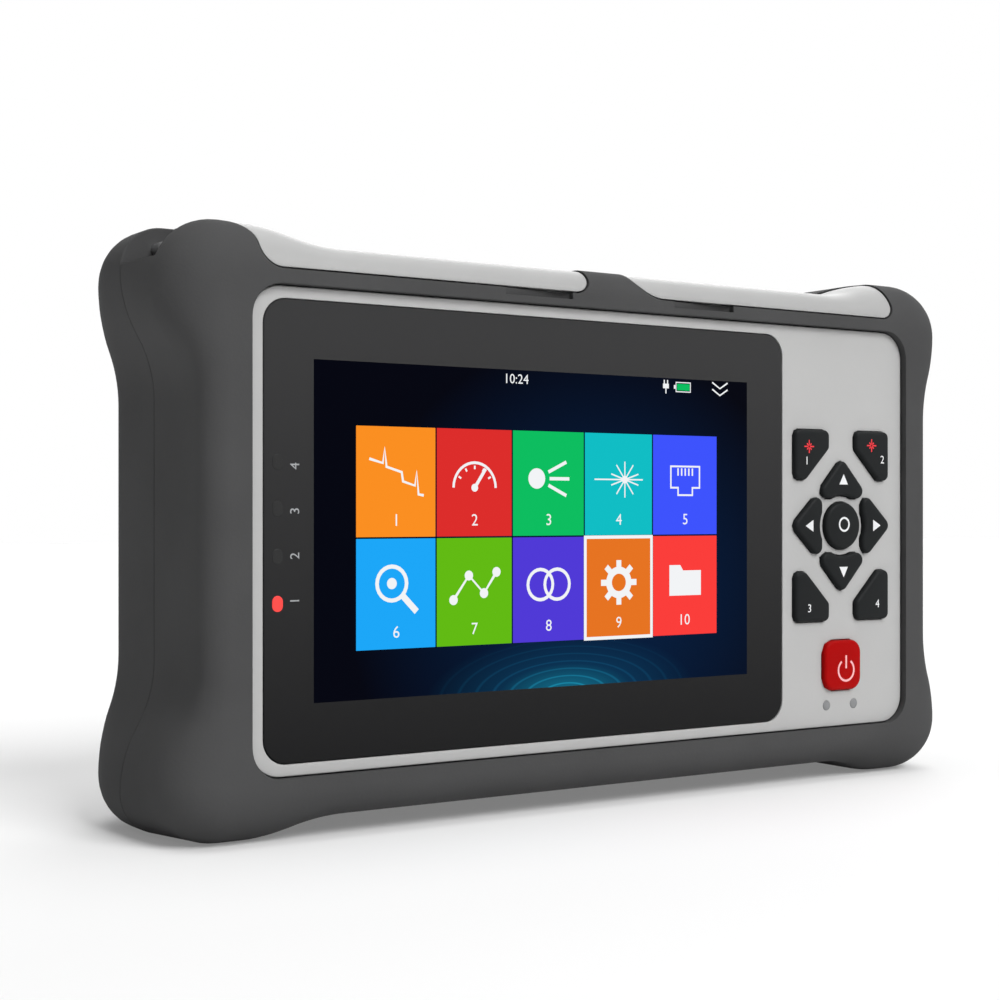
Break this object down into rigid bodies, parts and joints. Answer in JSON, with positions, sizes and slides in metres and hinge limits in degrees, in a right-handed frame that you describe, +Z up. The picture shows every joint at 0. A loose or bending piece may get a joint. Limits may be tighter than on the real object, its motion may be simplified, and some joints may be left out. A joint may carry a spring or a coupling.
{
  "type": "optical time domain reflectometer",
  "caption": "Handheld fibre test instrument: rubber-jacketed case, wide glass-fronted screen, keypad, hinged port covers on top and a fold-out stand behind.",
  "frame": {"origin": "middle of the footprint, on the surface that the two lower corners stand on", "axes": "+X along the front panel to its right, +Y from the front panel to the back, +Z up"},
  "size_m": [0.2014, 0.05, 0.1168],
  "materials": {
    "black_rubber": "soft matt",
    "cover_grey": "satin, fine grain",
    "panel_grey": "satin, fine grain",
    "tray_grey": "matt",
    "key_slate": "satin",
    "key_red": "satin",
    "seal_silicone": "matt",
    "steel": "brushed",
    "lens_glass": "polished",
    "screen_black": "gloss",
    "light_guide": "clear, frosted",
    "circuit_board": "solder resist",
    "module_metal": "milled",
    "battery_wrap": "shrink wrap",
    "adapter_metal": "nickel plated",
    "socket_black": "matt"
  },
  "bodies": {
    "housing": {"front_bumper": "black_rubber", "rear_bumper": "black_rubber", "front_case": "panel_grey", "rear_case": "panel_grey", "case_seal": "seal_silicone", "case_screws": "steel", "strap_bars": "steel", "screen_lens": "lens_glass", "lcd_module": "screen_black", "lcd_bracket": "steel", "indicator_lights": "light_guide", "indicator_board": "circuit_board", "status_lights": "light_guide", "keypad_mat": "seal_silicone", "keypad_board": "circuit_board", "key_domes": "steel", "main_board": "circuit_board", "optics_module": "module_metal", "battery_pack": "battery_wrap", "port_tray": "tray_grey", "otdr_adapter": "adapter_metal", "power_meter_adapter": "adapter_metal", "fault_light_adapter": "adapter_metal", "power_meter_detector": "module_metal", "fault_light_laser": "module_metal", "port_board": "circuit_board", "dc_jack": "socket_black", "usb_socket": "steel", "lan_socket": "socket_black", "optical_hinge_pin": "steel", "aux_hinge_pin": "steel", "stand_pin": "steel"},
    "ok_key": {"key_ok": "key_slate"},
    "up_key": {"key_up": "key_slate"},
    "down_key": {"key_down": "key_slate"},
    "left_key": {"key_left": "key_slate"},
    "right_key": {"key_right": "key_slate"},
    "manual_key": {"key_manual": "key_slate"},
    "auto_key": {"key_auto": "key_slate"},
    "setup_key": {"key_setup": "key_slate"},
    "back_key": {"key_back": "key_slate"},
    "power_key": {"key_power": "key_red"},
    "optical_lid": {"optical_cover": "cover_grey"},
    "aux_lid": {"aux_cover": "cover_grey"},
    "rear_stand": {"stand": "panel_grey"}
  },
  "joints": [
    {"name": "ok_press", "type": "slide", "parent": "housing", "child": "ok_key", "axis": [0, 1, 0], "range_m": [0, 0.0006], "stiffness_N_per_m": 500, "springref_m": -0.0006},
    {"name": "up_press", "type": "slide", "parent": "housing", "child": "up_key", "axis": [0, 1, 0], "range_m": [0, 0.0006], "stiffness_N_per_m": 500, "springref_m": -0.0006},
    {"name": "down_press", "type": "slide", "parent": "housing", "child": "down_key", "axis": [0, 1, 0], "range_m": [0, 0.0006], "stiffness_N_per_m": 500, "springref_m": -0.0006},
    {"name": "left_press", "type": "slide", "parent": "housing", "child": "left_key", "axis": [0, 1, 0], "range_m": [0, 0.0006], "stiffness_N_per_m": 500, "springref_m": -0.0006},
    {"name": "right_press", "type": "slide", "parent": "housing", "child": "right_key", "axis": [0, 1, 0], "range_m": [0, 0.0006], "stiffness_N_per_m": 500, "springref_m": -0.0006},
    {"name": "manual_press", "type": "slide", "parent": "housing", "child": "manual_key", "axis": [0, 1, 0], "range_m": [0, 0.0006], "stiffness_N_per_m": 500, "springref_m": -0.0006},
    {"name": "auto_press", "type": "slide", "parent": "housing", "child": "auto_key", "axis": [0, 1, 0], "range_m": [0, 0.0006], "stiffness_N_per_m": 500, "springref_m": -0.0006},
    {"name": "setup_press", "type": "slide", "parent": "housing", "child": "setup_key", "axis": [0, 1, 0], "range_m": [0, 0.0006], "stiffness_N_per_m": 500, "springref_m": -0.0006},
    {"name": "back_press", "type": "slide", "parent": "housing", "child": "back_key", "axis": [0, 1, 0], "range_m": [0, 0.0006], "stiffness_N_per_m": 500, "springref_m": -0.0006},
    {"name": "power_press", "type": "slide", "parent": "housing", "child": "power_key", "axis": [0, 1, 0], "range_m": [0, 0.0006], "stiffness_N_per_m": 500, "springref_m": -0.0006},
    {"name": "optical_cover_hinge", "type": "hinge", "parent": "housing", "child": "optical_lid", "pos_m": [-0.03675, 0.002, 0.1113], "axis": [-1, 0, 0], "range_deg": [0, 100]},
    {"name": "aux_cover_hinge", "type": "hinge", "parent": "housing", "child": "aux_lid", "pos_m": [0.03725, 0.002, 0.1113], "axis": [-1, 0, 0], "range_deg": [0, 100]},
    {"name": "stand_hinge", "type": "hinge", "parent": "housing", "child": "rear_stand", "pos_m": [0, 0.022, 0.0804], "axis": [1, 0, 0], "range_deg": [0, 60]}
  ]
}
